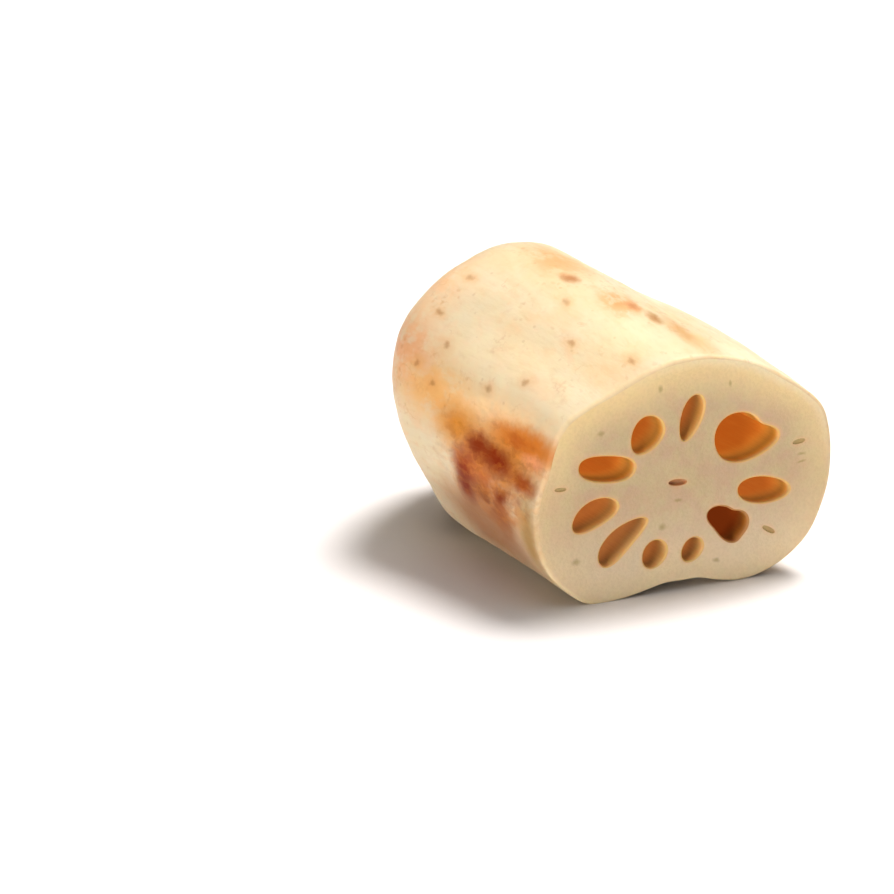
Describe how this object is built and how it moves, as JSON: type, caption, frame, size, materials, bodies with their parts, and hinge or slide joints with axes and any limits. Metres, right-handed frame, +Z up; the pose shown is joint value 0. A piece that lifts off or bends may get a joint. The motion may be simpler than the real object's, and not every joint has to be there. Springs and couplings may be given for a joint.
{
  "type": "lotus root segment",
  "caption": "Segment of a lotus root lying on its side, cut across at one end to show its ring of air canals, with a trimmed node scar at the other.",
  "frame": {"origin": "middle of the segment's outer box, on the surface that it lies on", "axes": "+Y along the root from its cut end to its node scar, +Z up, so the cut end faces -Y"},
  "size_m": [0.075, 0.091, 0.0669],
  "materials": {
    "root": "satin"
  },
  "bodies": {
    "root": {"lotus_root_segment": "root"}
  },
  "joints": []
}
